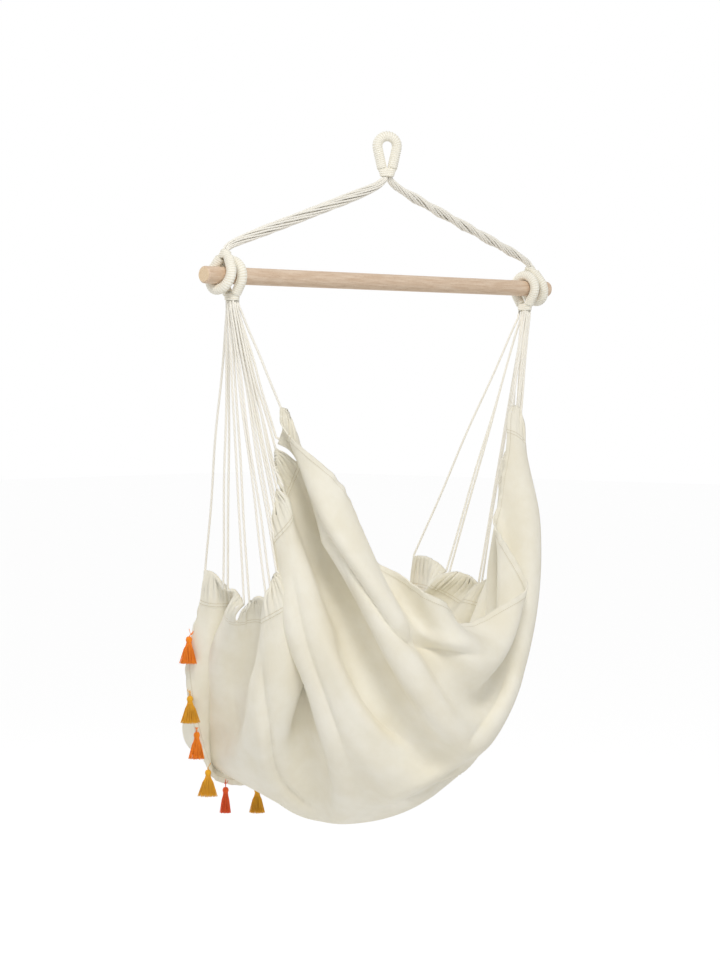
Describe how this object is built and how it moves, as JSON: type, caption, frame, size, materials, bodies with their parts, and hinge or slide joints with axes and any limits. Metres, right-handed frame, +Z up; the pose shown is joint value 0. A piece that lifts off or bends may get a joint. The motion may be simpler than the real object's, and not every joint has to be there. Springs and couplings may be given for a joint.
{
  "type": "hammock chair",
  "caption": "Hanging hammock chair: cotton seat cloth slung by side cords from looped rope eyes on a round wooden spreader bar, with small tassels along its front hem.",
  "frame": {"origin": "the point at the top of the inside of the hanging eye, where a hook bears", "axes": "+X along the spreader bar to the sitter's left, +Y to the back of the seat, +Z up"},
  "size_m": [1, 0.6885, 1.3816],
  "materials": {
    "beech": "fine-sanded, clear oiled beech",
    "cotton_rope": "undyed twisted cotton cord",
    "serving_thread": "undyed cotton thread, tightly wound",
    "cotton_canvas": "undyed woven cotton canvas",
    "tassel_orange": "orange cotton yarn",
    "tassel_mustard": "mustard cotton yarn",
    "tassel_red": "red-orange cotton yarn"
  },
  "bodies": {
    "hanger": {"hanging_eye": "cotton_rope", "hanging_eye_winding": "serving_thread", "hanging_rope_left": "cotton_rope", "hanging_rope_right": "cotton_rope", "upper_eye_left": "cotton_rope", "upper_eye_left_winding": "serving_thread", "upper_eye_right": "cotton_rope", "upper_eye_right_winding": "serving_thread"},
    "spreader_bar": {"spreader_bar": "beech"},
    "seat": {"seat_cloth": "cotton_canvas", "lower_eye_left": "cotton_rope", "lower_eye_left_winding": "serving_thread", "cord_left_01": "cotton_rope", "cord_left_02": "cotton_rope", "cord_left_03": "cotton_rope", "cord_left_04": "cotton_rope", "cord_left_05": "cotton_rope", "cord_left_06": "cotton_rope", "cord_left_07": "cotton_rope", "cord_left_08": "cotton_rope", "cord_left_09": "cotton_rope", "cord_left_10": "cotton_rope", "cord_left_11": "cotton_rope", "cord_left_12": "cotton_rope", "cord_left_13": "cotton_rope", "cord_left_14": "cotton_rope", "cord_left_15": "cotton_rope", "cord_left_16": "cotton_rope", "lower_eye_right": "cotton_rope", "lower_eye_right_winding": "serving_thread", "cord_right_01": "cotton_rope", "cord_right_02": "cotton_rope", "cord_right_03": "cotton_rope", "cord_right_04": "cotton_rope", "cord_right_05": "cotton_rope", "cord_right_06": "cotton_rope", "cord_right_07": "cotton_rope", "cord_right_08": "cotton_rope", "cord_right_09": "cotton_rope", "cord_right_10": "cotton_rope", "cord_right_11": "cotton_rope", "cord_right_12": "cotton_rope", "cord_right_13": "cotton_rope", "cord_right_14": "cotton_rope", "cord_right_15": "cotton_rope", "cord_right_16": "cotton_rope"},
    "tassel_01": {"tassel_01": "tassel_orange"},
    "tassel_02": {"tassel_02": "tassel_mustard"},
    "tassel_03": {"tassel_03": "tassel_orange"},
    "tassel_04": {"tassel_04": "tassel_mustard"},
    "tassel_05": {"tassel_05": "tassel_red"},
    "tassel_06": {"tassel_06": "tassel_mustard"},
    "tassel_07": {"tassel_07": "tassel_red"},
    "tassel_08": {"tassel_08": "tassel_mustard"},
    "tassel_09": {"tassel_09": "tassel_orange"},
    "tassel_10": {"tassel_10": "tassel_mustard"},
    "tassel_11": {"tassel_11": "tassel_orange"}
  },
  "joints": [
    {"name": "bar_spin", "type": "hinge", "parent": "hanger", "child": "spreader_bar", "pos_m": [0, 0, -0.276], "axis": [1, 0, 0], "continuous": true},
    {"name": "seat_swing", "type": "hinge", "parent": "hanger", "child": "seat", "pos_m": [0, 0, -0.276], "axis": [1, 0, 0], "range_deg": [-35, 35]},
    {"name": "tassel_01_swing", "type": "hinge", "parent": "seat", "child": "tassel_01", "pos_m": [0.31334, -0.22186, -0.95476], "axis": [0, -1, 0], "range_deg": [0, 35]},
    {"name": "tassel_02_swing", "type": "hinge", "parent": "seat", "child": "tassel_02", "pos_m": [0.30298, -0.24458, -1.06743], "axis": [0, -1, 0], "range_deg": [0, 35]},
    {"name": "tassel_03_swing", "type": "hinge", "parent": "seat", "child": "tassel_03", "pos_m": [0.2662, -0.26395, -1.14329], "axis": [0, -1, 0], "range_deg": [0, 35]},
    {"name": "tassel_04_swing", "type": "hinge", "parent": "seat", "child": "tassel_04", "pos_m": [0.19967, -0.30092, -1.22832], "axis": [0, -1, 0], "range_deg": [0, 35]},
    {"name": "tassel_05_swing", "type": "hinge", "parent": "seat", "child": "tassel_05", "pos_m": [0.10856, -0.34406, -1.27744], "axis": [0, -1, 0], "range_deg": [0, 35]},
    {"name": "tassel_06_swing", "type": "hinge", "parent": "seat", "child": "tassel_06", "pos_m": [0.00004, -0.36142, -1.29161], "axis": [0, -1, 0], "range_deg": [0, 35]},
    {"name": "tassel_07_swing", "type": "hinge", "parent": "seat", "child": "tassel_07", "pos_m": [-0.10875, -0.34454, -1.27679], "axis": [0, -1, 0], "range_deg": [0, 35]},
    {"name": "tassel_08_swing", "type": "hinge", "parent": "seat", "child": "tassel_08", "pos_m": [-0.19571, -0.3047, -1.23131], "axis": [0.7071, -0.7071, 0], "range_deg": [0, 35]},
    {"name": "tassel_09_swing", "type": "hinge", "parent": "seat", "child": "tassel_09", "pos_m": [-0.27085, -0.25459, -1.13147], "axis": [0.7071, 0.7071, 0], "range_deg": [0, 35]},
    {"name": "tassel_10_swing", "type": "hinge", "parent": "seat", "child": "tassel_10", "pos_m": [-0.30952, -0.23353, -1.04108], "axis": [0, 1, 0], "range_deg": [0, 35]},
    {"name": "tassel_11_swing", "type": "hinge", "parent": "seat", "child": "tassel_11", "pos_m": [-0.31208, -0.21141, -0.91262], "axis": [-0.3827, -0.9239, 0], "range_deg": [0, 35]}
  ]
}
